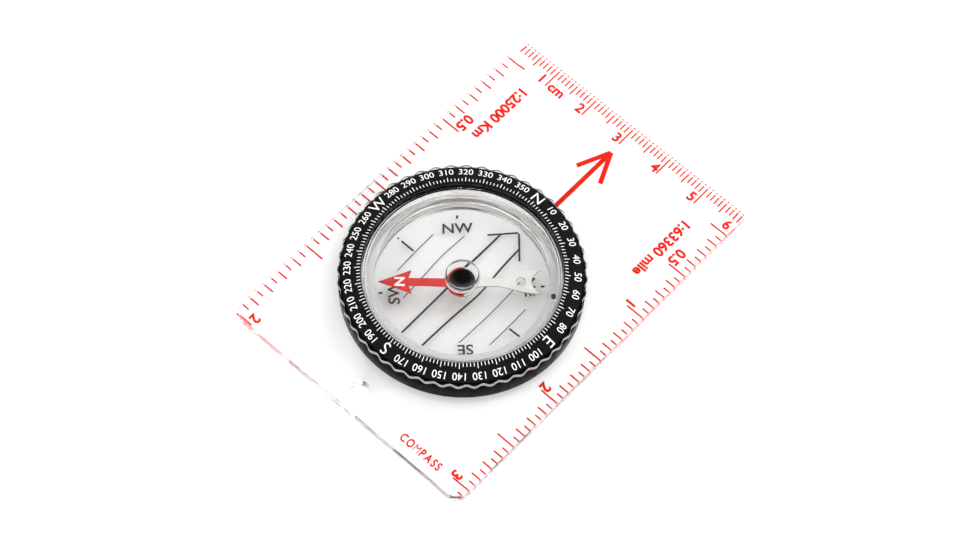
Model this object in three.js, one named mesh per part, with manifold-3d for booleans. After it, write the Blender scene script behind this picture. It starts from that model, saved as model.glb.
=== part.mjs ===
// Baseplate compass, millimetres, +Z up.
// Origin: centre of the plate's footprint, on its underside. +Y is the direction of travel.
import * as THREE from 'three';
import { mergeVertices } from 'three/addons/utils/BufferGeometryUtils.js';
import Module from 'manifold-3d';

// ---- driving dimensions -------------------------------------------------------------------

// plate
const PLATE_WIDTH = 60;
const PLATE_LENGTH = 85.6;
const PLATE_THICKNESS = 2.4;
const FRONT_CORNER_RADIUS = 1;
const BACK_CORNER_RADIUS = 3;
const EDGE_BEVEL = 0.15;
const LANYARD_HOLE_RADIUS = 1.95;
const LANYARD_HOLE_FROM_BACK = 4.6;

// housing axis, and how far the dial is turned from north on the travel line
const HOUSING_X = -0.5;
const HOUSING_Y = -8.4;
const DIAL_SETTING = 0.7;
const PLATE_HOLE_RADIUS = 20.2;
const COUNTERBORE_RADIUS = 22.4;
const COUNTERBORE_DEPTH = 1.4;

// heights above the plate's underside
const CAPSULE_BOTTOM = 0.2;
const FLOOR_TOP = 1.7;
const BEZEL_BOTTOM = 3.1;
const DECK = 7.5;
const DECK_THICKNESS = 1;
const RIM_TOP = 8.5;
const LID_TOP = 8.3;
const BOSS_TOP = 8.7;
const PAD_BOTTOM = 6.5;
const DIAL_OUTER_TOP = 8.65;
const DIAL_INNER_TOP = 9.8;

// radii about the housing axis
const CAVITY_RADIUS = 17.2;
const CAPSULE_RADIUS = 19.6;
const LID_SEAT_RADIUS = 19.2;
const LID_RADIUS = 19.1;
const LID_BEVEL = 0.3;
const CAPSULE_FLANGE_RADIUS = 22.3;
const SLEEVE_INNER_RADIUS = 20;
const SLEEVE_OUTER_RADIUS = 21.2;
const SLEEVE_BOTTOM = 4;
const BEZEL_RADIUS = 24.3;
const BEZEL_WALL = 1.3;
const DIAL_INNER_RADIUS = 19.85;
const DIAL_OUTER_RADIUS = 23.7;
const DIAL_BEVEL = 0.1;
const GRIP_INNER_RADIUS = 22.6;
const GRIP_MEAN_RADIUS = 24.3;
const GRIP_WAVE_HEIGHT = 0.24;
const GRIP_WAVES = 48;
const GRIP_FIRST_CREST = 2.3;

// snap ring under the plate, friction ring on top of it
const SNAP_GROOVE_RADIUS = 18.8;
const SNAP_GROOVE_BOTTOM = 0.55;
const SNAP_GROOVE_TOP = 1.25;
const SNAP_RING_INNER_RADIUS = 19.1;
const SNAP_RING_OUTER_RADIUS = 22;
const SNAP_RING_BOTTOM = 0.6;
const SNAP_RING_THICKNESS = 0.5;
const SNAP_RING_GAP = 8;
const FRICTION_RING_INNER_RADIUS = 21;
const FRICTION_RING_OUTER_RADIUS = 22.6;
const FRICTION_RING_THICKNESS = 0.4;

// lid boss, the pad under it that keeps the needle on its pin, and the filler plug
const BOSS_RADIUS = 3.3;
const BOSS_BEVEL = 0.2;
const FILLER_HOLE_RADIUS = 0.6;
const FILLER_PLUG_RADIUS = 0.45;
const FILLER_DISTANCE = 18.35;
const FILLER_BEARING = 63;
const FILLER_CHANNEL_WIDTH = 1.2;
const FILLER_CHANNEL_DEPTH = 0.8;
const FILLER_PLUG_TOP_RECESS = 0.1;
const FILLER_PLUG_LENGTH = 0.65;

// pivot
const PIVOT_BASE_RADIUS = 1;
const PIVOT_BASE_BOTTOM = 1.25;
const PIVOT_BASE_TOP = 2.5;
const PIVOT_BASE_CHAMFER = 0.25;
const PIVOT_SOCKET_RADIUS = 0.4;
const PIVOT_SOCKET_BOTTOM = 1.9;
const FLOOR_SOCKET_CLEARANCE = 0.05;
const FLOOR_SOCKET_DEPTH = 0.5;
const PIN_RADIUS = 0.28;
const PIN_TIP_START = 4.6;
const PIN_TIP_TOP = 5.35;

// needle: tip towards +Y in its own frame
const NEEDLE_HEADING = 133;
const BLADE_BOTTOM = 4.7;
const BLADE_THICKNESS = 0.3;
const TIP_DISTANCE = 16.2;
const BARB_DISTANCE = 9.6;
const BARB_HALF_WIDTH = 2.5;
const BARB_NOTCH_DISTANCE = 10.2;
const SHAFT_HALF_WIDTH = 0.8;
const HUB_RADIUS = 2.75;
const TAIL_HALF_WIDTH = 0.83;
const TAIL_FLARE_START = -6;
const PRONG_DISTANCE = -15.4;
const PRONG_HALF_WIDTH = 2.7;
const TAIL_NOTCH_DISTANCE = -13.4;
const TAIL_HOLE_DISTANCE = -11.3;
const TAIL_HOLE_RADIUS = 1;
const BLADE_BORE_RADIUS = 1.3;

// hub cap, jewel and ferrule
const CAP_RADIUS = 1.95;
const CAP_RIM_RADIUS = 2.36;
const CAP_RIM_TOP = 5.4;
const CAP_TOP = 6.3;
const CAP_EDGE_RADIUS = 0.45;
const CAP_CAVITY_RADIUS = 1.15;
const CAP_CAVITY_TOP = 5.7;
const JEWEL_RADIUS = 0.8;
const JEWEL_TOP = 5.7;
const JEWEL_BOTTOM = 5;
const JEWEL_CUP_RADIUS = 0.42;
const JEWEL_CUP_TOP = 5.5;
const FERRULE_OUTER_RADIUS = 1.1;
const FERRULE_INNER_RADIUS = 0.65;
const FERRULE_FLANGE_RADIUS = 1.8;
const FERRULE_BOTTOM = 4.35;
const FERRULE_TOP = 4.95;

// how far cutters run past the faces they open
const CUTTER_OVERSHOOT = 1;

// points closer together than this are one point
const WELD_TOLERANCE = 1e-5;

// facets
const LARGE_RING_SIDES = 72;
const SMALL_RING_SIDES = 24;
const SIDES_PER_WAVE = 6;
const CAP_ROUND_STEPS = 4;
const PLATE_CORNER_STEPS = 8;
const BLADE_CURVE_STEPS = 12;

// ---- helpers ------------------------------------------------------------------------------

const wasm = await Module();
wasm.setup();

const degrees = THREE.MathUtils.degToRad;

function toSolid(geometry) {
  const bare = geometry.index ? geometry.toNonIndexed() : geometry.clone();
  bare.deleteAttribute('normal');
  bare.deleteAttribute('uv');
  const merged = mergeVertices(bare, WELD_TOLERANCE);
  return new wasm.Manifold(new wasm.Mesh({
    numProp: 3,
    vertProperties: new Float32Array(merged.attributes.position.array),
    triVerts: new Uint32Array(merged.index.array),
  }));
}

function toGeometry(solid) {
  const mesh = solid.getMesh();
  const geometry = new THREE.BufferGeometry();
  geometry.setAttribute('position', new THREE.BufferAttribute(new Float32Array(mesh.vertProperties), 3));
  geometry.setIndex(new THREE.BufferAttribute(new Uint32Array(mesh.triVerts), 1));
  geometry.computeVertexNormals();
  return geometry;
}

// Revolves a closed [radius, height] outline, listed counter-clockwise, about +Z.
function ring(outline, sides) {
  const points = [...outline, outline[0]].map(([radius, height]) => new THREE.Vector2(radius, height));
  return new THREE.LatheGeometry(points, sides).rotateX(Math.PI / 2);
}

// Revolves an open outline whose two ends lie on the axis.
function turned(outline, sides) {
  const points = outline.map(([radius, height]) => new THREE.Vector2(radius, height));
  return new THREE.LatheGeometry(points, sides).rotateX(Math.PI / 2);
}

function plug(radius, bottom, top, sides = SMALL_RING_SIDES) {
  return turned([[0, bottom], [radius, bottom], [radius, top], [0, top]], sides);
}

function extrude(shape, bottom, thickness, curveSegments) {
  const options = { depth: thickness, bevelEnabled: false, curveSegments };
  return new THREE.ExtrudeGeometry(shape, options).translate(0, 0, bottom);
}

function part(name, geometry, colour, roughness, metalness = 0, opacity = 1) {
  const material = new THREE.MeshStandardMaterial({
    color: colour,
    roughness,
    metalness,
    opacity,
    transparent: opacity < 1,
  });
  const mesh = new THREE.Mesh(geometry, material);
  mesh.name = name;
  return mesh;
}

const CLEAR = { colour: 0xf2f4f3, roughness: 0.05, opacity: 0.3 };

function clearPart(name, geometry) {
  return part(name, geometry, CLEAR.colour, CLEAR.roughness, 0, CLEAR.opacity);
}

// ---- plate --------------------------------------------------------------------------------

function plateOutline() {
  const x = PLATE_WIDTH / 2 - EDGE_BEVEL;
  const y = PLATE_LENGTH / 2 - EDGE_BEVEL;
  const front = FRONT_CORNER_RADIUS - EDGE_BEVEL;
  const back = BACK_CORNER_RADIUS - EDGE_BEVEL;
  const outline = new THREE.Shape();
  outline.moveTo(-x + back, -y);
  outline.lineTo(x - back, -y);
  outline.absarc(x - back, -y + back, back, -Math.PI / 2, 0, false);
  outline.lineTo(x, y - front);
  outline.absarc(x - front, y - front, front, 0, Math.PI / 2, false);
  outline.lineTo(-x + front, y);
  outline.absarc(-x + front, y - front, front, Math.PI / 2, Math.PI, false);
  outline.lineTo(-x, -y + back);
  outline.absarc(-x + back, -y + back, back, Math.PI, Math.PI * 1.5, false);
  return outline;
}

function makeBaseplate() {
  const blank = new THREE.ExtrudeGeometry(plateOutline(), {
    depth: PLATE_THICKNESS - 2 * EDGE_BEVEL,
    bevelEnabled: true,
    bevelThickness: EDGE_BEVEL,
    bevelSize: EDGE_BEVEL,
    bevelSegments: 1,
    curveSegments: PLATE_CORNER_STEPS,
  }).translate(0, 0, EDGE_BEVEL);
  const below = -CUTTER_OVERSHOOT;
  const above = PLATE_THICKNESS + CUTTER_OVERSHOOT;
  const through = plug(PLATE_HOLE_RADIUS, below, above, LARGE_RING_SIDES);
  const counterbore = plug(COUNTERBORE_RADIUS, below, COUNTERBORE_DEPTH, LARGE_RING_SIDES);
  through.translate(HOUSING_X, HOUSING_Y, 0);
  counterbore.translate(HOUSING_X, HOUSING_Y, 0);
  const lanyardHole = plug(LANYARD_HOLE_RADIUS, below, above);
  lanyardHole.translate(0, LANYARD_HOLE_FROM_BACK - PLATE_LENGTH / 2, 0);
  let solid = toSolid(blank);
  for (const cutter of [through, counterbore, lanyardHole]) {
    solid = solid.subtract(toSolid(cutter));
  }
  return clearPart('baseplate', toGeometry(solid));
}

// Flat spring washer between the plate and the bezel: it holds the dial where it is set.
function makeFrictionRing() {
  const bottom = PLATE_THICKNESS;
  const top = PLATE_THICKNESS + FRICTION_RING_THICKNESS;
  const geometry = ring([
    [FRICTION_RING_INNER_RADIUS, bottom],
    [FRICTION_RING_OUTER_RADIUS, bottom],
    [FRICTION_RING_OUTER_RADIUS, top],
    [FRICTION_RING_INNER_RADIUS, top],
  ], LARGE_RING_SIDES);
  const mesh = part('friction_ring', geometry, 0x1a1a1a, 0.5);
  mesh.position.set(HOUSING_X, HOUSING_Y, 0);
  return mesh;
}

// ---- housing: bezel, capsule and what they hold -------------------------------------------

// Open snap ring in the capsule's groove, caught under the lip of the plate's counterbore.
function makeSnapRing() {
  const halfGap = degrees(SNAP_RING_GAP / 2);
  const start = -Math.PI / 2 + halfGap;
  const end = Math.PI * 1.5 - halfGap;
  const shape = new THREE.Shape();
  shape.absarc(0, 0, SNAP_RING_OUTER_RADIUS, start, end, false);
  shape.absarc(0, 0, SNAP_RING_INNER_RADIUS, end, start, true);
  const geometry = extrude(shape, SNAP_RING_BOTTOM, SNAP_RING_THICKNESS, LARGE_RING_SIDES / 2);
  return part('snap_ring', geometry, 0xd9dcda, 0.35);
}

function makeBezelRing() {
  const wallInside = BEZEL_RADIUS - BEZEL_WALL;
  const deckUnderside = DECK - DECK_THICKNESS;
  return part('bezel_ring', ring([
    [SLEEVE_INNER_RADIUS, SLEEVE_BOTTOM],
    [SLEEVE_OUTER_RADIUS, SLEEVE_BOTTOM],
    [SLEEVE_OUTER_RADIUS, deckUnderside],
    [wallInside, deckUnderside],
    [wallInside, BEZEL_BOTTOM],
    [BEZEL_RADIUS, BEZEL_BOTTOM],
    [BEZEL_RADIUS, DECK],
    [SLEEVE_INNER_RADIUS, DECK],
  ], LARGE_RING_SIDES), 0x0b0b0c, 0.18);
}

// Clear ring with a waved rim for the fingers, between the bezel and the dial plate.
function makeGripRing() {
  const sides = GRIP_WAVES * SIDES_PER_WAVE;
  const shape = new THREE.Shape();
  for (let side = 0; side < sides; side += 1) {
    const angle = (side / sides) * Math.PI * 2;
    const phase = GRIP_WAVES * (angle - degrees(GRIP_FIRST_CREST));
    const radius = GRIP_MEAN_RADIUS + GRIP_WAVE_HEIGHT * Math.cos(phase);
    const x = radius * Math.cos(angle);
    const y = radius * Math.sin(angle);
    if (side === 0) {
      shape.moveTo(x, y);
    } else {
      shape.lineTo(x, y);
    }
  }
  shape.closePath();
  const opening = new THREE.Path();
  opening.absarc(0, 0, GRIP_INNER_RADIUS, 0, Math.PI * 2, true);
  shape.holes.push(opening);
  return clearPart('grip_ring', extrude(shape, DECK, RIM_TOP - DECK, LARGE_RING_SIDES / 2));
}

// Black dial with the degree print on its sloping face.
function makeDialPlate() {
  return part('dial_plate', ring([
    [DIAL_INNER_RADIUS, RIM_TOP],
    [DIAL_OUTER_RADIUS, RIM_TOP],
    [DIAL_OUTER_RADIUS, DIAL_OUTER_TOP],
    [DIAL_INNER_RADIUS + DIAL_BEVEL, DIAL_INNER_TOP],
    [DIAL_INNER_RADIUS, DIAL_INNER_TOP - DIAL_BEVEL],
  ], LARGE_RING_SIDES), 0x0b0b0c, 0.25);
}

function makeCapsuleBase() {
  const cup = turned([
    [0, CAPSULE_BOTTOM],
    [CAPSULE_RADIUS, CAPSULE_BOTTOM],
    [CAPSULE_RADIUS, SNAP_GROOVE_BOTTOM],
    [SNAP_GROOVE_RADIUS, SNAP_GROOVE_BOTTOM],
    [SNAP_GROOVE_RADIUS, SNAP_GROOVE_TOP],
    [CAPSULE_RADIUS, SNAP_GROOVE_TOP],
    [CAPSULE_RADIUS, DECK],
    [CAPSULE_FLANGE_RADIUS, DECK],
    [CAPSULE_FLANGE_RADIUS, RIM_TOP],
    [LID_SEAT_RADIUS, RIM_TOP],
    [LID_SEAT_RADIUS, DECK],
    [CAVITY_RADIUS, DECK],
    [CAVITY_RADIUS, FLOOR_TOP],
    [0, FLOOR_TOP],
  ], LARGE_RING_SIDES);
  const channel = new THREE.BoxGeometry(
    FILLER_CHANNEL_WIDTH,
    FILLER_DISTANCE - CAVITY_RADIUS + FILLER_CHANNEL_WIDTH,
    2 * FILLER_CHANNEL_DEPTH,
  );
  channel.translate(0, (FILLER_DISTANCE + CAVITY_RADIUS) / 2, DECK);
  channel.rotateZ(-degrees(FILLER_BEARING));
  const socket = plug(
    PIVOT_BASE_RADIUS + FLOOR_SOCKET_CLEARANCE,
    FLOOR_TOP - FLOOR_SOCKET_DEPTH,
    FLOOR_TOP + CUTTER_OVERSHOOT,
  );
  const solid = toSolid(cup).subtract(toSolid(channel)).subtract(toSolid(socket));
  return clearPart('capsule_base', toGeometry(solid));
}

function fillerPosition() {
  const bearing = degrees(FILLER_BEARING);
  return [FILLER_DISTANCE * Math.sin(bearing), FILLER_DISTANCE * Math.cos(bearing)];
}

// Lid let into the base's rim, with a boss on top and a pad below it over the needle's cap.
function makeCapsuleLid() {
  const lid = turned([
    [0, PAD_BOTTOM],
    [BOSS_RADIUS, PAD_BOTTOM],
    [BOSS_RADIUS, DECK],
    [LID_RADIUS, DECK],
    [LID_RADIUS, LID_TOP - LID_BEVEL],
    [LID_RADIUS - LID_BEVEL, LID_TOP],
    [BOSS_RADIUS, LID_TOP],
    [BOSS_RADIUS - BOSS_BEVEL, BOSS_TOP],
    [0, BOSS_TOP],
  ], LARGE_RING_SIDES);
  const fillerHole = plug(FILLER_HOLE_RADIUS, DECK - CUTTER_OVERSHOOT, LID_TOP + CUTTER_OVERSHOOT);
  const [x, y] = fillerPosition();
  fillerHole.translate(x, y, 0);
  return clearPart('capsule_lid', toGeometry(toSolid(lid).subtract(toSolid(fillerHole))));
}

function makeFillerPlug() {
  const top = LID_TOP - FILLER_PLUG_TOP_RECESS;
  const mesh = part('filler_plug', plug(FILLER_PLUG_RADIUS, top - FILLER_PLUG_LENGTH, top), 0x55565a, 0.3);
  const [x, y] = fillerPosition();
  mesh.position.set(x, y, 0);
  return mesh;
}

// White nylon bush in the floor that holds the pin.
function makePivotBase() {
  return part('pivot_base', turned([
    [0, PIVOT_BASE_BOTTOM],
    [PIVOT_BASE_RADIUS, PIVOT_BASE_BOTTOM],
    [PIVOT_BASE_RADIUS, PIVOT_BASE_TOP - PIVOT_BASE_CHAMFER],
    [PIVOT_BASE_RADIUS - PIVOT_BASE_CHAMFER, PIVOT_BASE_TOP],
    [PIVOT_SOCKET_RADIUS, PIVOT_BASE_TOP],
    [PIVOT_SOCKET_RADIUS, PIVOT_SOCKET_BOTTOM],
    [0, PIVOT_SOCKET_BOTTOM],
  ], SMALL_RING_SIDES), 0xe6e6e2, 0.5);
}

function makePivotPin() {
  return part('pivot_pin', turned([
    [0, PIVOT_SOCKET_BOTTOM],
    [PIN_RADIUS, PIVOT_SOCKET_BOTTOM],
    [PIN_RADIUS, PIN_TIP_START],
    [0, PIN_TIP_TOP],
  ], SMALL_RING_SIDES), 0xb9bcc0, 0.2, 1);
}

// ---- needle -------------------------------------------------------------------------------

// Flat steel blade: arrow tip, shaft and hub disc on the north half, flared fork on the south half.
function bladeOutline() {
  const northJoin = Math.asin(SHAFT_HALF_WIDTH / HUB_RADIUS);
  const southJoin = Math.asin(TAIL_HALF_WIDTH / HUB_RADIUS);
  const outline = new THREE.Shape();
  outline.moveTo(0, TIP_DISTANCE);
  outline.lineTo(-BARB_HALF_WIDTH, BARB_DISTANCE);
  outline.lineTo(-SHAFT_HALF_WIDTH, BARB_NOTCH_DISTANCE);
  outline.absarc(0, 0, HUB_RADIUS, Math.PI / 2 + northJoin, Math.PI * 1.5 - southJoin, false);
  outline.lineTo(-TAIL_HALF_WIDTH, TAIL_FLARE_START);
  outline.bezierCurveTo(
    -TAIL_HALF_WIDTH, (TAIL_FLARE_START + TAIL_HOLE_DISTANCE) / 2,
    -PRONG_HALF_WIDTH, TAIL_HOLE_DISTANCE,
    -PRONG_HALF_WIDTH, PRONG_DISTANCE,
  );
  outline.quadraticCurveTo(-PRONG_HALF_WIDTH / 2, TAIL_NOTCH_DISTANCE, 0, TAIL_NOTCH_DISTANCE);
  outline.quadraticCurveTo(PRONG_HALF_WIDTH / 2, TAIL_NOTCH_DISTANCE, PRONG_HALF_WIDTH, PRONG_DISTANCE);
  outline.bezierCurveTo(
    PRONG_HALF_WIDTH, TAIL_HOLE_DISTANCE,
    TAIL_HALF_WIDTH, (TAIL_FLARE_START + TAIL_HOLE_DISTANCE) / 2,
    TAIL_HALF_WIDTH, TAIL_FLARE_START,
  );
  outline.absarc(0, 0, HUB_RADIUS, southJoin - Math.PI / 2, Math.PI / 2 - northJoin, false);
  outline.lineTo(SHAFT_HALF_WIDTH, BARB_NOTCH_DISTANCE);
  outline.lineTo(BARB_HALF_WIDTH, BARB_DISTANCE);
  outline.closePath();
  for (const [y, radius] of [[0, BLADE_BORE_RADIUS], [TAIL_HOLE_DISTANCE, TAIL_HOLE_RADIUS]]) {
    const hole = new THREE.Path();
    hole.absarc(0, y, radius, 0, Math.PI * 2, true);
    outline.holes.push(hole);
  }
  return outline;
}

function makeNeedleBlade() {
  const geometry = extrude(bladeOutline(), BLADE_BOTTOM, BLADE_THICKNESS, BLADE_CURVE_STEPS);
  return part('needle_blade', geometry, 0xc8161b, 0.35);
}

// Black cap on the blade; the jewel sits at the top of its cavity.
function makeHubCap() {
  const bladeTop = BLADE_BOTTOM + BLADE_THICKNESS;
  const outline = [
    [0, CAP_CAVITY_TOP],
    [CAP_CAVITY_RADIUS, CAP_CAVITY_TOP],
    [CAP_CAVITY_RADIUS, bladeTop],
    [CAP_RIM_RADIUS, bladeTop],
    [CAP_RIM_RADIUS, CAP_RIM_TOP],
    [CAP_RADIUS, CAP_RIM_TOP],
  ];
  for (let step = 0; step <= CAP_ROUND_STEPS; step += 1) {
    const angle = (step / CAP_ROUND_STEPS) * (Math.PI / 2);
    outline.push([
      CAP_RADIUS - CAP_EDGE_RADIUS * (1 - Math.cos(angle)),
      CAP_TOP - CAP_EDGE_RADIUS * (1 - Math.sin(angle)),
    ]);
  }
  outline.push([0, CAP_TOP]);
  return part('hub_cap', turned(outline, SMALL_RING_SIDES), 0x0a0a0b, 0.08);
}

function makeJewelBearing() {
  return part('jewel_bearing', turned([
    [0, JEWEL_CUP_TOP],
    [JEWEL_CUP_RADIUS, JEWEL_BOTTOM],
    [JEWEL_RADIUS, JEWEL_BOTTOM],
    [JEWEL_RADIUS, JEWEL_TOP],
    [0, JEWEL_TOP],
  ], SMALL_RING_SIDES), 0xb0304a, 0.05);
}

// Brass ferrule pushed up through the blade into the cap, with a flange under the blade.
function makeHubFerrule() {
  return part('hub_ferrule', ring([
    [FERRULE_INNER_RADIUS, FERRULE_BOTTOM],
    [FERRULE_FLANGE_RADIUS, FERRULE_BOTTOM],
    [FERRULE_FLANGE_RADIUS, BLADE_BOTTOM],
    [FERRULE_OUTER_RADIUS, BLADE_BOTTOM],
    [FERRULE_OUTER_RADIUS, FERRULE_TOP],
    [FERRULE_INNER_RADIUS, FERRULE_TOP],
  ], SMALL_RING_SIDES), 0xb08d46, 0.35, 1);
}

// ---- assembly -----------------------------------------------------------------------------

const needle = new THREE.Group();
needle.position.set(HOUSING_X, HOUSING_Y, 0);
needle.rotation.z = degrees(NEEDLE_HEADING);
needle.add(makeNeedleBlade(), makeHubCap(), makeJewelBearing(), makeHubFerrule());

const housing = new THREE.Group();
housing.position.set(HOUSING_X, HOUSING_Y, 0);
housing.rotation.z = degrees(DIAL_SETTING);
housing.add(
  makeSnapRing(),
  makeBezelRing(),
  makeGripRing(),
  makeDialPlate(),
  makeCapsuleBase(),
  makeCapsuleLid(),
  makeFillerPlug(),
  makePivotBase(),
  makePivotPin(),
);

const compass = new THREE.Group();
compass.add(makeBaseplate(), makeFrictionRing(), housing, needle);

export default compass;
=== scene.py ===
import math

import bmesh
import bpy
import numpy as np
from mathutils import Matrix, Vector


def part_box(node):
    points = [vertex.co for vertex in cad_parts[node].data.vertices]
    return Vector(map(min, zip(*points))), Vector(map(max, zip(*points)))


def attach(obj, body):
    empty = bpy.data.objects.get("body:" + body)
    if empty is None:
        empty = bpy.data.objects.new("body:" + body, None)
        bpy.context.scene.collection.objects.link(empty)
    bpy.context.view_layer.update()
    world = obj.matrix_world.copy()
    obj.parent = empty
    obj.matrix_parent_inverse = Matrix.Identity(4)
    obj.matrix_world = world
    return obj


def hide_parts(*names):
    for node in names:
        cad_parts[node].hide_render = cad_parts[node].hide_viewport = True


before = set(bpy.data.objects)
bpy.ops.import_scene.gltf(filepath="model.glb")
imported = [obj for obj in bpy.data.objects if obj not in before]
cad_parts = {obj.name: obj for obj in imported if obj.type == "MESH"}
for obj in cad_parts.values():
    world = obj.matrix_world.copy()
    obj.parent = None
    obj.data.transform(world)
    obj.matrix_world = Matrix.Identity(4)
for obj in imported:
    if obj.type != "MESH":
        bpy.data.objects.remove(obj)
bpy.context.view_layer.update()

# ---- sizes, in millimetres, in the frame's own axes ------------------------------------------

MM = 0.001

PLATE_LOW, PLATE_HIGH = (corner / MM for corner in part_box("baseplate"))
CAP_LOW, CAP_HIGH = (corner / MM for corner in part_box("hub_cap"))
AXIS_X = (CAP_LOW.x + CAP_HIGH.x) / 2
AXIS_Y = (CAP_LOW.y + CAP_HIGH.y) / 2
DIAL_SETTING = math.radians(0.7)
NEEDLE_HEADING = math.radians(133)

PLATE_TOP = PLATE_HIGH.z
FRONT_CORNER = 1.0
BACK_CORNER = 3.0
PLATE_EDGE = 0.15
PLATE_HOLE = 20.2
COUNTERBORE = 22.4
COUNTERBORE_DEPTH = 1.4
LANYARD_HOLE = 1.95
LANYARD_FROM_BACK = 4.6

FLOOR_TOP = 1.7
BEZEL_BOTTOM = 3.1
DECK = 7.5
RIM_TOP = 8.5
LID_TOP = 8.3
BOSS_TOP = 8.7
PAD_BOTTOM = 6.5
DIAL_OUTER = 23.7
DIAL_OUTER_TOP = 8.65
DIAL_INNER = 19.85
DIAL_INNER_TOP = 9.8
BEZEL_RADIUS = 24.3
BEZEL_WALL = 1.3
SLEEVE_INNER = 20.0
SLEEVE_OUTER = 21.2
GRIP_INNER = 22.6
GRIP_MEAN = 24.3
GRIP_WAVE = 0.24
GRIP_WAVES = 48
GRIP_FIRST_CREST = math.radians(2.3)
DECK_THICKNESS = 1.0
CAVITY = 17.2
CAPSULE = 19.6
LID_SEAT = 19.2
LID_RADIUS = 19.1
LID_BEVEL = 0.3
BOSS_RADIUS = 3.3
BOSS_TOP_RADIUS = 3.1
FLANGE = 22.3
GROOVE = 18.8
CAPSULE_BOTTOM = 0.2
GROOVE_BOTTOM, GROOVE_TOP = 0.55, 1.25
SOCKET_RADIUS, SOCKET_BOTTOM = 1.05, 1.2
SLEEVE_BOTTOM = 4.0
FILLER_DISTANCE = 18.35
FILLER_BEARING = math.radians(63)
FILLER_RADIUS = 0.6
PLUG_RADIUS, PLUG_BOTTOM, PLUG_TOP = 0.45, 7.55, 8.2
CUTTER_OVERSHOOT = 1.0

FRICTION_INNER, FRICTION_OUTER, FRICTION_BOTTOM, FRICTION_TOP = 21.0, 22.6, 2.4, 2.8
SNAP_INNER, SNAP_OUTER, SNAP_BOTTOM, SNAP_TOP = 19.1, 22.0, 0.6, 1.1
SNAP_HALF_GAP = math.radians(4)
BUSH_RADIUS, BUSH_TOP_RADIUS, BUSH_BORE = 1.0, 0.75, 0.4
BUSH_BOTTOM, BUSH_SHOULDER, BUSH_TOP, BUSH_BORE_BOTTOM = 1.25, 2.25, 2.5, 1.9
PIN_RADIUS, PIN_SHOULDER, PIN_TIP = 0.28, 4.6, 5.35

BLADE_BOTTOM = 4.7
BLADE_TOP = 5.0
CAP_RADIUS, CAP_RIM_RADIUS, CAP_CAVITY_RADIUS = 1.95, 2.36, 1.15
CAP_RIM_TOP, CAP_CAVITY_TOP, CAP_TOP, CAP_ROUNDING = 5.4, 5.7, 6.3, 0.45
JEWEL_RADIUS, JEWEL_BOTTOM, JEWEL_TOP = 0.8, 5.0, 5.7
JEWEL_CUP_RADIUS, JEWEL_CUP_TOP = 0.42, 5.5
FERRULE_INNER, FERRULE_OUTER, FERRULE_FLANGE = 0.65, 1.1, 1.8
FERRULE_BOTTOM, FERRULE_TOP = 4.35, 4.95
PAINT_GAP = 0.005

WELD_GAP = 0.02
INK_LIFT = 0.02
LAYER = 0.002
SIDES = 288
SMALL_SIDES = 64

# ---- mesh helpers ----------------------------------------------------------------------------


def to_frame(points, origin=(0, 0), turn=0.0):
    """Millimetres about a local axis into metres in the frame."""
    points = np.array(points, float).reshape(-1, 3)
    c, s = math.cos(turn), math.sin(turn)
    x = points[:, 0] * c - points[:, 1] * s + origin[0]
    y = points[:, 0] * s + points[:, 1] * c + origin[1]
    return np.column_stack([x, y, points[:, 2]]) * MM


def make_piece(name, body, points, faces, materials, place="plate", node=None, crease=28):
    origins = {"plate": ((0, 0), 0.0), "housing": ((AXIS_X, AXIS_Y), DIAL_SETTING),
               "needle": ((AXIS_X, AXIS_Y), NEEDLE_HEADING)}
    origin, turn = origins[place]
    mesh = bpy.data.meshes.new(name)
    mesh.from_pydata(to_frame(points, origin, turn).tolist(), [], faces)
    obj = bpy.data.objects.new(name, mesh)
    bpy.context.scene.collection.objects.link(obj)
    if not isinstance(materials, (list, tuple)):
        materials = [materials]
    for material in materials:
        mesh.materials.append(material)
    clean(obj, crease)
    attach(obj, body)
    if node:
        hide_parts(*([node] if isinstance(node, str) else node))
    return obj


def clean(obj, crease, recalc=True):
    bm = bmesh.new()
    bm.from_mesh(obj.data)
    if recalc:
        bmesh.ops.recalc_face_normals(bm, faces=bm.faces)
    limit = math.radians(crease)
    for face in bm.faces:
        face.smooth = True
    for edge in bm.edges:
        if len(edge.link_faces) == 2 and edge.calc_face_angle(0.0) > limit:
            edge.smooth = False
    bm.to_mesh(obj.data)
    bm.free()
    obj.data.update()


def apply_modifiers(obj):
    graph = bpy.context.evaluated_depsgraph_get()
    baked = bpy.data.meshes.new_from_object(obj.evaluated_get(graph))
    obj.modifiers.clear()
    obj.data = baked


def rounded(outline, steps=3):
    """Fillets the corners of a closed [r, z, radius] outline that give a radius."""
    result = []
    count = len(outline)
    for i, corner in enumerate(outline):
        here = Vector(corner[:2])
        radius = corner[2] if len(corner) > 2 else 0
        if not radius:
            result.append(tuple(here))
            continue
        before = Vector(outline[i - 1][:2]) - here
        after = Vector(outline[(i + 1) % count][:2]) - here
        half = before.angle(after) / 2
        reach = min(radius / math.tan(half), before.length * 0.49, after.length * 0.49)
        radius = reach * math.tan(half)
        a, b = before.normalized(), after.normalized()
        centre = here + (a + b).normalized() * (radius / math.sin(half))
        first = here + a * reach - centre
        last = here + b * reach - centre
        swing = math.atan2(first.x * last.y - first.y * last.x, first.dot(last))
        for step in range(steps + 1):
            angle = swing * step / steps
            c, s = math.cos(angle), math.sin(angle)
            result.append((centre.x + first.x * c - first.y * s, centre.y + first.x * s + first.y * c))
    return result


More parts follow.
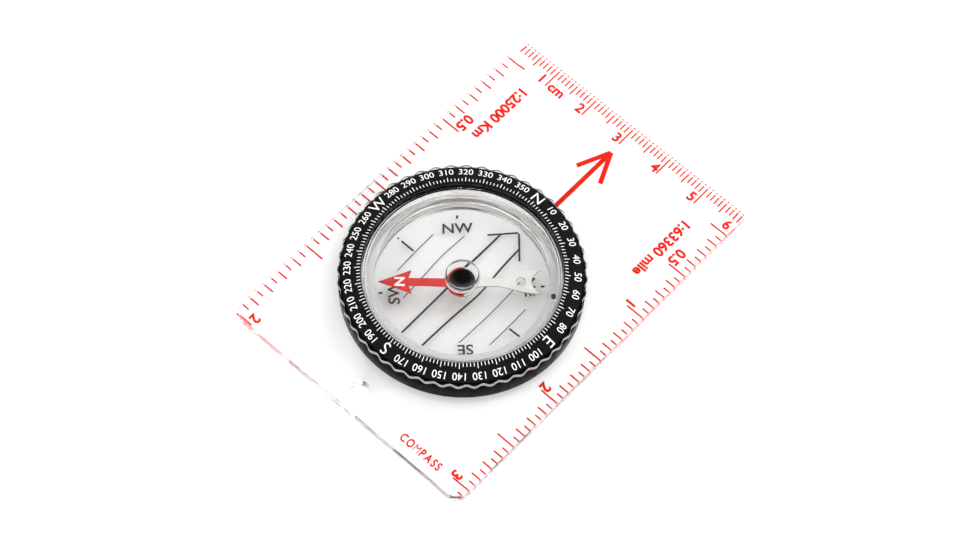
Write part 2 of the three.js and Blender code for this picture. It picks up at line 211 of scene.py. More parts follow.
def revolve(outline, sides=SIDES, wave=None, start=0.0, turn=math.tau):
    """Points and faces of an outline swept round the axis; wave(angle, radius) is added to every radius off
    the axis.
    """
    closed = abs(turn - math.tau) < 1e-9
    stations = sides if closed else sides + 1
    points, index = [], []
    for i, corner in enumerate(outline):
        r, z = corner[0], corner[1]
        if r < 1e-9:
            index.append([len(points)] * stations)
            points.append((0, 0, z))
            continue
        index.append(list(range(len(points), len(points) + stations)))
        for k in range(stations):
            angle = start + turn * k / sides
            reach = r + (wave(angle, r) if wave else 0)
            points.append((reach * math.cos(angle), reach * math.sin(angle), z))
    faces = []
    count = len(outline)
    for i in range(count):
        j = (i + 1) % count
        if outline[i][0] < 1e-9 and outline[j][0] < 1e-9:
            continue
        for k in range(sides):
            m = (k + 1) % stations
            quad = [index[i][k], index[i][m], index[j][m], index[j][k]]
            face = [v for n, v in enumerate(quad) if v != quad[n - 1]]
            faces.append(face)
    if not closed:
        faces.append([index[i][0] for i in range(count)])
        faces.append([index[i][-1] for i in reversed(range(count))])
    return points, faces


def arc(cx, cy, radius, start, end, steps):
    return [(cx + radius * math.cos(start + (end - start) * k / steps),
             cy + radius * math.sin(start + (end - start) * k / steps)) for k in range(steps + 1)]


def prism(loops, bottom, top):
    """Points and faces of a flat outline with holes, between two heights."""
    bm = bmesh.new()
    rims = []
    for loop in loops:
        verts = [bm.verts.new((x, y, bottom)) for x, y in loop]
        rims.append([bm.edges.new((verts[i], verts[(i + 1) % len(verts)])) for i in range(len(verts))])
    bmesh.ops.triangle_fill(bm, use_beauty=True, use_dissolve=False, edges=[e for rim in rims for e in rim])
    made = bmesh.ops.extrude_face_region(bm, geom=list(bm.faces), use_keep_orig=True)
    for v in [g for g in made["geom"] if isinstance(g, bmesh.types.BMVert)]:
        v.co.z = top
    bmesh.ops.recalc_face_normals(bm, faces=bm.faces)
    bm.verts.index_update()
    points = [tuple(v.co) for v in bm.verts]
    faces = [[v.index for v in f.verts] for f in bm.faces]
    bm.free()
    return points, faces


# ---- ink helpers -----------------------------------------------------------------------------


def glyphs(text, height, weight=0.0, width=1.0):
    """Flat letters with capitals of the given height, centred, as points and faces."""
    curve = bpy.data.curves.new("lettering", "FONT")
    curve.body = text
    curve.offset = weight
    curve.resolution_u = 6
    obj = bpy.data.objects.new("lettering", curve)
    bpy.context.scene.collection.objects.link(obj)
    bpy.context.view_layer.update()
    graph = bpy.context.evaluated_depsgraph_get()
    mesh = bpy.data.meshes.new_from_object(obj.evaluated_get(graph))
    points = np.array([v.co[:] for v in mesh.vertices], float).reshape(-1, 3)
    faces = [list(p.vertices) for p in mesh.polygons]
    bpy.data.objects.remove(obj)
    bpy.data.curves.remove(curve)
    bpy.data.meshes.remove(mesh)
    scale = height / CAPITAL if CAPITAL else 1.0
    points[:, 0] = (points[:, 0] - (points[:, 0].min() + points[:, 0].max()) / 2) * scale * width
    points[:, 1] = points[:, 1] * scale - (height / 2 if CAPITAL else 0)
    return points[:, :2], faces


CAPITAL = 0.0
CAPITAL = float(np.ptp(glyphs("H", 1)[0][:, 1]))


NARROW = 0.78


class Ink:
    """Collects flat strokes and letters, then drapes them on a surface."""

    def __init__(self):
        self.points, self.faces, self.count = [], [], 0

    def add(self, points, faces):
        base = len(self.points)
        layer = LAYER * (self.count % 5)
        self.count += 1
        self.points += [(p[0], p[1], layer) for p in points]
        self.faces += [[base + v for v in f] for f in faces]

    def stroke(self, x0, y0, x1, y1, width):
        a, b = Vector((x0, y0)), Vector((x1, y1))
        side = (b - a).normalized() * (width / 2)
        side = Vector((-side.y, side.x))
        self.add([a - side, b - side, b + side, a + side], [[0, 1, 2, 3]])

    def text(self, text, x, y, height, up=math.pi / 2, weight=0.0, width=1.0):
        points, faces = glyphs(text, height, weight, width)
        c, s = math.cos(up - math.pi / 2), math.sin(up - math.pi / 2)
        self.add([(px * c - py * s + x, px * s + py * c + y) for px, py in points], faces)

    def line(self, text, start, end, y, height, weight):
        """Capitals one by one between two x places, with even gaps."""
        widths = [float(np.ptp(glyphs(letter, height, weight, NARROW)[0][:, 0])) for letter in text]
        gap = (end - start - sum(widths)) / (len(text) - 1)
        x = start
        for letter, width in zip(text, widths):
            self.text(letter, x + width / 2, y, height, weight=0.0 if letter == "M" else weight, width=NARROW)
            x += width + gap

    def radial(self, angle, inner, outer, width):
        c, s = math.sin(angle), math.cos(angle)
        self.stroke(inner * c, inner * s, outer * c, outer * s, width)

    def piece(self, name, body, place, material, height):
        points = [(x, y, layer + (height(x, y) if callable(height) else height))
                  for x, y, layer in self.points]
        return make_piece(name, body, points, self.faces, material, place=place, crease=80)


# ---- materials -------------------------------------------------------------------------------


class Nodes:
    """A material's node tree with short calls for adding and joining nodes."""

    def __init__(self, name):
        self.material = bpy.data.materials.new(name)
        self.material.use_nodes = True
        self.tree = self.material.node_tree
        self.tree.nodes.clear()
        self.output = self.add("ShaderNodeOutputMaterial")

    def add(self, kind, **settings):
        node = self.tree.nodes.new(kind)
        for key, value in settings.items():
            setattr(node, key, value)
        return node

    def link(self, a, b):
        self.tree.links.new(a, b)

    def noise(self, scale, detail=3.0, roughness=0.5, stretch=None):
        noise = self.add("ShaderNodeTexNoise")
        noise.inputs["Scale"].default_value = scale
        noise.inputs["Detail"].default_value = detail
        noise.inputs["Roughness"].default_value = roughness
        coordinates = self.add("ShaderNodeTexCoord").outputs["Object"]
        if stretch:
            mapping = self.add("ShaderNodeMapping")
            mapping.inputs["Scale"].default_value = stretch
            self.link(coordinates, mapping.inputs["Vector"])
            coordinates = mapping.outputs["Vector"]
        self.link(coordinates, noise.inputs["Vector"])
        return noise.outputs["Fac"]

    def ramp(self, source, stops):
        ramp = self.add("ShaderNodeValToRGB")
        ramp.color_ramp.elements[0].position, ramp.color_ramp.elements[0].color = stops[0]
        ramp.color_ramp.elements[1].position, ramp.color_ramp.elements[1].color = stops[-1]
        for position, colour in stops[1:-1]:
            ramp.color_ramp.elements.new(position).color = colour
        self.link(source, ramp.inputs["Fac"])
        return ramp.outputs["Color"]

    def remap(self, source, low, high, from_low=0.3, from_high=0.7):
        node = self.add("ShaderNodeMapRange")
        node.inputs["From Min"].default_value = from_low
        node.inputs["From Max"].default_value = from_high
        node.inputs["To Min"].default_value = low
        node.inputs["To Max"].default_value = high
        self.link(source, node.inputs["Value"])
        return node.outputs["Result"]

    def bump(self, source, strength, distance, after=None):
        node = self.add("ShaderNodeBump")
        node.inputs["Strength"].default_value = strength
        node.inputs["Distance"].default_value = distance
        self.link(source, node.inputs["Height"])
        if after:
            self.link(after, node.inputs["Normal"])
        return node.outputs["Normal"]


ACRYLIC_IOR = 1.49


def grey(value):
    return (value, value, value, 1)


def scratches(nodes):
    """Fine crossing hairlines, as a height."""
    a = nodes.noise(900, 2, 0.6, stretch=(1, 0.03, 1))
    b = nodes.noise(700, 2, 0.6, stretch=(0.04, 1, 1))
    mix = nodes.add("ShaderNodeMath", operation="MAXIMUM")
    nodes.link(a, mix.inputs[0])
    nodes.link(b, mix.inputs[1])
    return mix.outputs[0]


def sawn_edge(nodes, after):
    """Ripples on the upright faces only, as a saw or a mould leaves them."""
    ripple = nodes.noise(260, 2, 0.5, stretch=(1, 1, 0.35))
    upright = nodes.add("ShaderNodeSeparateXYZ")
    nodes.link(nodes.add("ShaderNodeNewGeometry").outputs["Normal"], upright.inputs[0])
    lean = nodes.add("ShaderNodeMath", operation="ABSOLUTE")
    nodes.link(upright.outputs["Z"], lean.inputs[0])
    node = nodes.add("ShaderNodeBump")
    node.inputs["Distance"].default_value = 0.0003
    nodes.link(nodes.remap(lean.outputs[0], 0.35, 0.0, 0.2, 0.6), node.inputs["Strength"])
    nodes.link(ripple, node.inputs["Height"])
    nodes.link(after, node.inputs["Normal"])
    return node.outputs["Normal"]


def clear_plastic(name, tint, roughness=0.012, shade=0.99, sawn=False):
    nodes = Nodes(name)
    glass = nodes.add("ShaderNodeBsdfPrincipled")
    glass.inputs["Base Color"].default_value = tint
    glass.inputs["Transmission Weight"].default_value = 1
    glass.inputs["IOR"].default_value = ACRYLIC_IOR
    cloud = nodes.noise(120, 4, 0.6)
    nodes.link(nodes.remap(cloud, roughness * 0.4, roughness * 1.8), glass.inputs["Roughness"])
    fine = nodes.bump(scratches(nodes), 0.02, 0.00001)
    nodes.link(sawn_edge(nodes, fine) if sawn else fine, glass.inputs["Normal"])
    through = nodes.add("ShaderNodeBsdfTransparent")
    through.inputs["Color"].default_value = grey(shade)
    mix = nodes.add("ShaderNodeMixShader")
    nodes.link(nodes.add("ShaderNodeLightPath").outputs["Is Shadow Ray"], mix.inputs["Fac"])
    nodes.link(glass.outputs[0], mix.inputs[1])
    nodes.link(through.outputs[0], mix.inputs[2])
    nodes.link(mix.outputs[0], nodes.output.inputs["Surface"])
    return nodes.material


def opaque(name, low, high, rough_low, rough_high, metallic=0.0, grain=400, bump=0.1, depth=0.00002,
           specular=0.5, wear=None, coat=0.0):
    nodes = Nodes(name)
    shader = nodes.add("ShaderNodeBsdfPrincipled")
    cloud = nodes.noise(grain * 0.2, 4, 0.6)
    colour = nodes.ramp(cloud, [(0.3, low), (0.7, high)])
    if wear:
        bevel = nodes.add("ShaderNodeBevel", samples=6)
        bevel.inputs["Radius"].default_value = 0.00008
        dot = nodes.add("ShaderNodeVectorMath", operation="DOT_PRODUCT")
        nodes.link(bevel.outputs[0], dot.inputs[0])
        nodes.link(nodes.add("ShaderNodeNewGeometry").outputs["Normal"], dot.inputs[1])
        edge = nodes.remap(dot.outputs["Value"], 1.0, 0.0, 0.8, 0.99)
        patchy = nodes.remap(nodes.noise(grain * 1.5, 3), 0.0, 1.0, 0.45, 0.65)
        amount = nodes.add("ShaderNodeMath", operation="MULTIPLY")
        nodes.link(edge, amount.inputs[0])
        nodes.link(patchy, amount.inputs[1])
        mix = nodes.add("ShaderNodeMix", data_type="RGBA")
        nodes.link(amount.outputs[0], mix.inputs["Factor"])
        nodes.link(colour, mix.inputs["A"])
        mix.inputs["B"].default_value = wear
        colour = mix.outputs["Result"]
    nodes.link(colour, shader.inputs["Base Color"])
    shader.inputs["Metallic"].default_value = metallic
    shader.inputs["Specular IOR Level"].default_value = specular
    shader.inputs["Coat Weight"].default_value = coat
    fine = nodes.noise(grain, 3, 0.6)
    nodes.link(nodes.remap(fine, rough_low, rough_high), shader.inputs["Roughness"])
    nodes.link(nodes.bump(fine, bump, depth), shader.inputs["Normal"])
    nodes.link(shader.outputs[0], nodes.output.inputs["Surface"])
    return nodes.material


def frosted(name, tint, roughness, milk):
    """Clear plastic with a textured skin that also scatters some light."""
    nodes = Nodes(name)
    glass = nodes.add("ShaderNodeBsdfPrincipled")
    glass.inputs["Base Color"].default_value = tint
    glass.inputs["Transmission Weight"].default_value = 1
    glass.inputs["IOR"].default_value = ACRYLIC_IOR
    grain = nodes.noise(2500, 3, 0.6)
    nodes.link(nodes.remap(grain, roughness * 0.7, roughness * 1.3), glass.inputs["Roughness"])
    nodes.link(nodes.bump(grain, 0.1, 0.00001), glass.inputs["Normal"])
    skin = nodes.add("ShaderNodeBsdfDiffuse")
    skin.inputs["Color"].default_value = tint
    mix = nodes.add("ShaderNodeMixShader")
    mix.inputs["Fac"].default_value = milk
    nodes.link(glass.outputs[0], mix.inputs[1])
    nodes.link(skin.outputs[0], mix.inputs[2])
    nodes.link(mix.outputs[0], nodes.output.inputs["Surface"])
    return nodes.material


acrylic = clear_plastic("acrylic", (0.985, 0.99, 0.985, 1), sawn=True)
capsule_clear = clear_plastic("capsule_clear", (0.98, 0.98, 0.975, 1))
grip_clear = clear_plastic("grip_clear", (0.96, 0.96, 0.95, 1))
grip_skin = frosted("grip_skin", (0.5, 0.5, 0.47, 1), 0.3, 0.7)
black_gloss = opaque("black_gloss", (0.0022, 0.0022, 0.002, 1), (0.004, 0.004, 0.0037, 1), 0.12, 0.22,
                     grain=900, bump=0.04, specular=0.015, wear=(0.03, 0.03, 0.03, 1))
black_dial = opaque("black_dial", (0.0022, 0.0022, 0.002, 1), (0.004, 0.004, 0.0037, 1), 0.25, 0.38,
                    grain=1200, bump=0.06, specular=0.06, wear=(0.03, 0.03, 0.03, 1))
black_cap = opaque("black_cap", (0.001, 0.001, 0.001, 1), (0.002, 0.0017, 0.002, 1), 0.03, 0.07,
                   grain=600, bump=0.02, specular=0.06)
nylon_black = opaque("nylon_black", (0.008, 0.008, 0.008, 1), (0.014, 0.014, 0.013, 1), 0.4, 0.6)
nylon_grey = opaque("nylon_grey", (0.55, 0.56, 0.55, 1), (0.65, 0.66, 0.65, 1), 0.35, 0.55)
plug_grey = opaque("plug_grey", grey(0.02), grey(0.04), 0.3, 0.5, specular=0.2)
nylon_white = opaque("nylon_white", (0.78, 0.78, 0.76, 1), (0.84, 0.84, 0.82, 1), 0.35, 0.55)
brass = opaque("brass", (0.62, 0.42, 0.16, 1), (0.72, 0.5, 0.22, 1), 0.2, 0.4, metallic=1.0)
steel = opaque("steel", (0.55, 0.56, 0.58, 1), (0.68, 0.68, 0.7, 1), 0.15, 0.3, metallic=1.0)
ruby = opaque("ruby", (0.4, 0.02, 0.06, 1), (0.5, 0.03, 0.08, 1), 0.04, 0.08, coat=0.5)
needle_red = opaque("needle_red", (0.5, 0.004, 0.004, 1), (0.58, 0.006, 0.006, 1), 0.3, 0.45,
                    grain=1500, bump=0.08, specular=0.06, wear=(0.35, 0.05, 0.04, 1))
needle_white = opaque("needle_white", (0.58, 0.57, 0.54, 1), (0.66, 0.65, 0.61, 1), 0.3, 0.45,
                      grain=1500, bump=0.08, wear=(0.5, 0.49, 0.46, 1))
needle_side = opaque("needle_side", (0.1, 0.1, 0.1, 1), (0.16, 0.15, 0.15, 1), 0.3, 0.5, metallic=0.6)
ink_red = opaque("ink_red", (0.68, 0.014, 0.006, 1), (0.78, 0.022, 0.01, 1), 0.4, 0.6,
                 grain=2500, bump=0.1, specular=0.05)
ink_white = opaque("ink_white", (0.72, 0.72, 0.7, 1), (0.84, 0.84, 0.82, 1), 0.4, 0.6,
                   grain=2500, bump=0.1, specular=0.05)
ink_black = opaque("ink_black", (0.006, 0.006, 0.006, 1), (0.014, 0.014, 0.013, 1), 0.4, 0.6,
                   grain=2500, bump=0.1, specular=0.05)

# ---- plate -----------------------------------------------------------------------------------


def plate_loop(inset):
    x0, x1 = PLATE_LOW.x + inset, PLATE_HIGH.x - inset
    y0, y1 = PLATE_LOW.y + inset, PLATE_HIGH.y - inset
    back, front = BACK_CORNER - inset, FRONT_CORNER - inset
    quarter = math.pi / 2
    return (arc(x1 - back, y0 + back, back, -quarter, 0, 12)
            + arc(x1 - front, y1 - front, front, 0, quarter, 12)
            + arc(x0 + front, y1 - front, front, quarter, 2 * quarter, 12)
            + arc(x0 + back, y0 + back, back, 2 * quarter, 3 * quarter, 12))


def circle(cx, cy, radius, sides):
    return [(cx + radius * math.cos(math.tau * k / sides), cy + radius * math.sin(math.tau * k / sides))
            for k in range(sides)]


def make_plate():
    bm = bmesh.new()

    def rim(points, z):
        return [bm.verts.new((x, y, z)) for x, y in points]

    def wall(rims):
        for low, high in zip(rims, rims[1:]):
            for i in range(len(low)):
                j = (i + 1) % len(low)
                bm.faces.new((low[i], low[j], high[j], high[i]))

    def bevel_rims(make, low, high, edge, sign):
        """Rims of a wall from low to high with rounded ends; sign says which way it leans at its ends."""
        rims = []
        for k in range(4):
            angle = math.pi / 2 * k / 3
            rims.append(rim(make(sign * edge * (1 - math.sin(angle))), low + edge * (1 - math.cos(angle))))
        for k in range(4):
            angle = math.pi / 2 * k / 3
            rims.append(rim(make(sign * edge * (1 - math.cos(angle))), high - edge * (1 - math.sin(angle))))
        return rims

    outer = bevel_rims(plate_loop, 0, PLATE_TOP, PLATE_EDGE, 1)
    wall(outer)
    lanyard_y = PLATE_LOW.y + LANYARD_FROM_BACK
    lanyard = bevel_rims(lambda d: circle(0, lanyard_y, LANYARD_HOLE - d, 72), 0, PLATE_TOP, 0.1, -1)
    wall(lanyard)
    hole = bevel_rims(lambda d: circle(AXIS_X, AXIS_Y, PLATE_HOLE - d, SIDES),
                      COUNTERBORE_DEPTH, PLATE_TOP, 0.08, -1)
    bore = bevel_rims(lambda d: circle(AXIS_X, AXIS_Y, COUNTERBORE - d, SIDES),
                      0, COUNTERBORE_DEPTH, 0.05, -1)
    wall(hole)
    wall(bore[:5])
    lip = bore[4]
    wall([lip, hole[0]])
    for v in [v for r in bore[5:] for v in r]:
        bm.verts.remove(v)
    for top in (True, False):
        pick = (lambda r: r[-1]) if top else (lambda r: r[0])
        edges = []
        for rims in (outer, lanyard, hole if top else bore):
            loop = pick(rims)
            for i in range(len(loop)):
                edge = bm.edges.get((loop[i], loop[(i + 1) % len(loop)]))
                edges.append(edge)
        bmesh.ops.triangle_fill(bm, use_beauty=True, use_dissolve=False, edges=edges)
    bmesh.ops.recalc_face_normals(bm, faces=bm.faces)
    bm.verts.index_update()
    points = [tuple(v.co) for v in bm.verts]
    faces = [[v.index for v in f.verts] for f in bm.faces]
    bm.free()
    return make_piece("plate", "baseplate", points, faces, acrylic, node="baseplate")


make_plate()

# ---- rings and capsule -----------------------------------------------------------------------


def turned(name, body, outline, material, node, place="housing", sides=SIDES, crease=28, steps=3):
    points, faces = revolve(rounded(outline, steps), sides)
    return make_piece(name, body, points, faces, material, place=place, node=node, crease=crease)


friction = [(FRICTION_INNER, FRICTION_BOTTOM, 0.1), (FRICTION_OUTER, FRICTION_BOTTOM, 0.1),
            (FRICTION_OUTER, FRICTION_TOP, 0.1), (FRICTION_INNER, FRICTION_TOP, 0.1)]
points, faces = revolve(rounded(friction))
make_piece("friction_washer", "baseplate", [(x + AXIS_X, y + AXIS_Y, z) for x, y, z in points], faces,
           nylon_black, node="friction_ring")

snap = [(SNAP_INNER, SNAP_BOTTOM, 0.12), (SNAP_OUTER, SNAP_BOTTOM, 0.12),
        (SNAP_OUTER, SNAP_TOP, 0.12), (SNAP_INNER, SNAP_TOP, 0.12)]
points, faces = revolve(rounded(snap), SIDES, start=-math.pi / 2 + SNAP_HALF_GAP,
                        turn=math.tau - 2 * SNAP_HALF_GAP)
make_piece("retaining_ring", "housing", points, faces, nylon_grey, place="housing", node="snap_ring")

wall_inside = BEZEL_RADIUS - BEZEL_WALL
turned("bezel", "housing", [
    (SLEEVE_INNER, SLEEVE_BOTTOM, 0.15), (SLEEVE_OUTER, SLEEVE_BOTTOM, 0.15),
    (SLEEVE_OUTER, DECK - DECK_THICKNESS, 0.1), (wall_inside, DECK - DECK_THICKNESS, 0.1),
    (wall_inside, BEZEL_BOTTOM, 0.2), (BEZEL_RADIUS, BEZEL_BOTTOM, 0.25),
    (BEZEL_RADIUS, DECK, 0.1), (SLEEVE_INNER, DECK, 0.1)], black_gloss, "bezel_ring")

turned("dial", "housing", [
    (DIAL_INNER, RIM_TOP, 0.05), (DIAL_OUTER, RIM_TOP, 0.05), (DIAL_OUTER, DIAL_OUTER_TOP, 0.12),
    (DIAL_INNER + 0.02, DIAL_INNER_TOP, 0.1)], black_dial, "dial_plate")


def scallop(angle, radius):
    share = max(0.0, min(1.0, (radius - GRIP_INNER - 0.5) / 1.0))
    return share * GRIP_WAVE * math.cos(GRIP_WAVES * (angle - GRIP_FIRST_CREST))


points, faces = revolve(rounded([
    (GRIP_INNER, DECK + WELD_GAP, 0.08), (GRIP_MEAN, DECK + WELD_GAP, 0.08),
    (GRIP_MEAN, RIM_TOP - WELD_GAP, 0.12), (GRIP_INNER, RIM_TOP - WELD_GAP, 0.08)], 4),
    GRIP_WAVES * 12, wave=scallop)
grip = make_piece("grip", "housing", points, faces, [grip_clear, grip_skin], place="housing",
                  node="grip_ring", crease=50)
for face in grip.data.polygons:
    reach = math.hypot(face.center.x / MM - AXIS_X, face.center.y / MM - AXIS_Y)
    if reach > GRIP_INNER + 1 and abs(face.normal.z) < 0.8:
        face.material_index = 1

turned("capsule", "housing", [
    (0, CAPSULE_BOTTOM), (CAPSULE, CAPSULE_BOTTOM, 0.15), (CAPSULE, GROOVE_BOTTOM, 0.05),
    (GROOVE, GROOVE_BOTTOM), (GROOVE, GROOVE_TOP), (CAPSULE, GROOVE_TOP, 0.05),
    (CAPSULE, DECK + WELD_GAP, 0.05), (FLANGE, DECK + WELD_GAP, 0.1),
    (FLANGE, RIM_TOP - WELD_GAP, 0.1), (LID_SEAT, RIM_TOP - WELD_GAP, 0.1), (LID_SEAT, DECK),
    (CAVITY, DECK, 0.12), (CAVITY, FLOOR_TOP, 0.3), (SOCKET_RADIUS, FLOOR_TOP),
    (SOCKET_RADIUS, SOCKET_BOTTOM), (0, SOCKET_BOTTOM)],
    capsule_clear, "capsule_base")

lid = turned("lid", "housing", [
    (0, PAD_BOTTOM), (BOSS_RADIUS, PAD_BOTTOM, 0.1), (BOSS_RADIUS, DECK + WELD_GAP, 0.1),
    (LID_RADIUS, DECK + WELD_GAP, 0.05), (LID_RADIUS, LID_TOP - LID_BEVEL), (LID_RADIUS - LID_BEVEL, LID_TOP),
    (BOSS_RADIUS, LID_TOP, 0.15), (BOSS_TOP_RADIUS, BOSS_TOP, 0.2), (0, BOSS_TOP)],
    capsule_clear, "capsule_lid")
filler_x = FILLER_DISTANCE * math.sin(FILLER_BEARING)
filler_y = FILLER_DISTANCE * math.cos(FILLER_BEARING)
points, faces = revolve([
    (0, DECK - CUTTER_OVERSHOOT), (FILLER_RADIUS, DECK - CUTTER_OVERSHOOT),
    (FILLER_RADIUS, LID_TOP + CUTTER_OVERSHOOT), (0, LID_TOP + CUTTER_OVERSHOOT)], SMALL_SIDES)
cutter_mesh = bpy.data.meshes.new("cutter")
cutter_mesh.from_pydata(to_frame([(x + filler_x, y + filler_y, z) for x, y, z in points],
                                 (AXIS_X, AXIS_Y), DIAL_SETTING).tolist(), [], faces)
cutter = bpy.data.objects.new("cutter", cutter_mesh)
bpy.context.scene.collection.objects.link(cutter)
clean(cutter, 28)
cut = lid.modifiers.new("filler_hole", "BOOLEAN")
cut.operation = "DIFFERENCE"
cut.object = cutter
apply_modifiers(lid)
bpy.data.objects.remove(cutter)
clean(lid, 28, recalc=False)

points, faces = revolve(rounded([
    (0, PLUG_BOTTOM), (PLUG_RADIUS, PLUG_BOTTOM, 0.05), (PLUG_RADIUS, PLUG_TOP, 0.1), (0, PLUG_TOP)]), 32)
make_piece("fill_plug", "housing", [(x + filler_x, y + filler_y, z) for x, y, z in points], faces, plug_grey,
           place="housing", node="filler_plug")

turned("pivot_bush", "housing", [
    (0, BUSH_BOTTOM), (BUSH_RADIUS, BUSH_BOTTOM, 0.05), (BUSH_RADIUS, BUSH_SHOULDER, 0.05),
    (BUSH_TOP_RADIUS, BUSH_TOP, 0.05), (BUSH_BORE, BUSH_TOP, 0.05), (BUSH_BORE, BUSH_BORE_BOTTOM),
    (0, BUSH_BORE_BOTTOM)],
    nylon_white, "pivot_base", sides=SMALL_SIDES)
turned("pivot_needle_pin", "housing", [
    (0, BUSH_BORE_BOTTOM), (PIN_RADIUS, BUSH_BORE_BOTTOM, 0.04), (PIN_RADIUS, PIN_SHOULDER, 0.1),
    (0, PIN_TIP)],
       steel, "pivot_pin", sides=SMALL_SIDES)

# ---- needle ----------------------------------------------------------------------------------

TIP, BARB, BARB_HALF, BARB_NOTCH, SHAFT_HALF = 16.2, 9.6, 2.5, 10.2, 0.8
HUB, TAIL_HALF, FLARE, PRONG, PRONG_HALF = 2.75, 0.83, -6.0, -15.4, 2.7
NOTCH, TAIL_HOLE_Y, TAIL_HOLE_R, BORE = -13.4, -11.3, 1.0, 1.3
PAINT_OFFSET = 0.36


def bezier(a, b, c, d, steps):
    result = []
    for k in range(1, steps + 1):
        t = k / steps
        u = 1 - t
        result.append(tuple(u ** 3 * a[i] + 3 * u * u * t * b[i] + 3 * u * t * t * c[i] + t ** 3 * d[i]
                            for i in range(2)))
    return result


def curve2(a, b, c, steps):
    result = []
    for k in range(1, steps + 1):
        t = k / steps
        u = 1 - t
        result.append(tuple(u ** 2 * a[i] + 2 * u * t * b[i] + t ** 2 * c[i] for i in range(2)))
    return result


def blade_outline():
    north, south = math.asin(SHAFT_HALF / HUB), math.asin(TAIL_HALF / HUB)
    half = [(0, TIP), (-BARB_HALF, BARB), (-SHAFT_HALF, BARB_NOTCH)]
    half += arc(0, 0, HUB, math.pi / 2 + north, math.pi * 1.5 - south, 48)
    half.append((-TAIL_HALF, FLARE))
    half += bezier((-TAIL_HALF, FLARE), (-TAIL_HALF, (FLARE + TAIL_HOLE_Y) / 2), (-PRONG_HALF, TAIL_HOLE_Y),
                   (-PRONG_HALF, PRONG), 24)
    half += curve2((-PRONG_HALF, PRONG), (-PRONG_HALF / 2, NOTCH), (0, NOTCH), 12)
    other = [(-x, y) for x, y in reversed(half[1:-1])]
    return half + other


def make_blade():
    points, faces = prism([blade_outline(), circle(0, 0, BORE, 64), circle(0, TAIL_HOLE_Y, TAIL_HOLE_R, 48)],
                          BLADE_BOTTOM, BLADE_TOP)
    blade = make_piece("blade", "needle", points, faces, [needle_red, needle_white, needle_side],
                       place="needle", node="needle_blade")
    bevel = blade.modifiers.new("edge", "BEVEL")
    bevel.width = 0.05 * MM
    bevel.segments = 2
    bevel.limit_method = "ANGLE"
    bevel.angle_limit = math.radians(40)
    apply_modifiers(blade)
    bm = bmesh.new()
    bm.from_mesh(blade.data)
    along = Vector((-math.sin(NEEDLE_HEADING), math.cos(NEEDLE_HEADING), 0))
    centre = Vector((AXIS_X, AXIS_Y, 0)) * MM - along * (PAINT_OFFSET * MM)
    bmesh.ops.bisect_plane(bm, geom=list(bm.verts) + list(bm.edges) + list(bm.faces), plane_co=centre,
                           plane_no=along, dist=1e-8)
    for face in bm.faces:
        north = (face.calc_center_median() - centre).dot(along) > 0
        face.material_index = 0 if north else 1
        if not north and abs(face.normal.z) < 0.3:
            face.material_index = 2
    bm.to_mesh(blade.data)
    bm.free()
    clean(blade, 28, recalc=False)


make_blade()

turned("cap", "needle", [
    (0, CAP_CAVITY_TOP), (CAP_CAVITY_RADIUS, CAP_CAVITY_TOP), (CAP_CAVITY_RADIUS, BLADE_TOP + PAINT_GAP),
    (CAP_RIM_RADIUS, BLADE_TOP + PAINT_GAP, 0.04), (CAP_RIM_RADIUS, CAP_RIM_TOP, 0.15),
    (CAP_RADIUS, CAP_RIM_TOP, 0.1), (CAP_RADIUS, CAP_TOP, CAP_ROUNDING), (0, CAP_TOP)],
    black_cap, "hub_cap", place="needle", sides=96, steps=8)
turned("jewel", "needle", [
    (0, JEWEL_CUP_TOP), (JEWEL_CUP_RADIUS, JEWEL_BOTTOM, 0.05), (JEWEL_RADIUS, JEWEL_BOTTOM, 0.06),
    (JEWEL_RADIUS, JEWEL_TOP, 0.05), (0, JEWEL_TOP)],
       ruby, "jewel_bearing", place="needle", sides=SMALL_SIDES)
turned("ferrule", "needle", [
    (FERRULE_INNER, FERRULE_BOTTOM, 0.05), (FERRULE_FLANGE, FERRULE_BOTTOM, 0.1),
    (FERRULE_FLANGE, BLADE_BOTTOM - PAINT_GAP, 0.04), (FERRULE_OUTER, BLADE_BOTTOM - PAINT_GAP),
    (FERRULE_OUTER, FERRULE_TOP, 0.05), (FERRULE_INNER, FERRULE_TOP, 0.05)],
    brass, "hub_ferrule", place="needle", sides=SMALL_SIDES)

letter = Ink()
letter.text("N", 0, 12.0, 1.9, weight=0.03)
letter.piece("needle_letter", "needle", "needle", ink_white, BLADE_TOP + 0.012)

# ---- print on the plate ----------------------------------------------------------------------

FRONT = PLATE_HIGH.y
LEFT, RIGHT = PLATE_LOW.x, PLATE_HIGH.x

TICK = 0.34
LETTER = 2.1
BOLD = 0.035

LONG_CM, HALF_CM, SHORT_CM = 4.71, 2.78, 2.0
LONG_KM, EVEN_KM, ODD_KM = 4.48, 2.54, 1.78
LONG_MILE, EVEN_MILE, ODD_MILE = 55.35, 57.22, 57.97
KM_START, KM_STEP = 4.68, 2
MILE_START, MILE_STEP = 5.69, 1.5875
SIDE_MARGIN, FRONT_MARGIN = 0.18, 0.2

ruler = Ink()
for tick in range(1, 60):
    inner = LONG_CM if tick % 10 == 0 else HALF_CM if tick % 5 == 0 else SHORT_CM
    ruler.stroke(LEFT + tick, FRONT - FRONT_MARGIN, LEFT + tick, FRONT - inner, TICK)
for number, x in ((1, -21.6), (2, -11.3), (3, -1.3), (4, 8.9), (5, 18.65), (6, 28.0)):
    ruler.text(str(number), x, FRONT - 3.7, LETTER, weight=BOLD)
ruler.text("cm", -17.6, FRONT - 3.9, LETTER, weight=BOLD)
ruler.piece("print_cm_scale", "baseplate", "plate", ink_red, INK_LIFT)

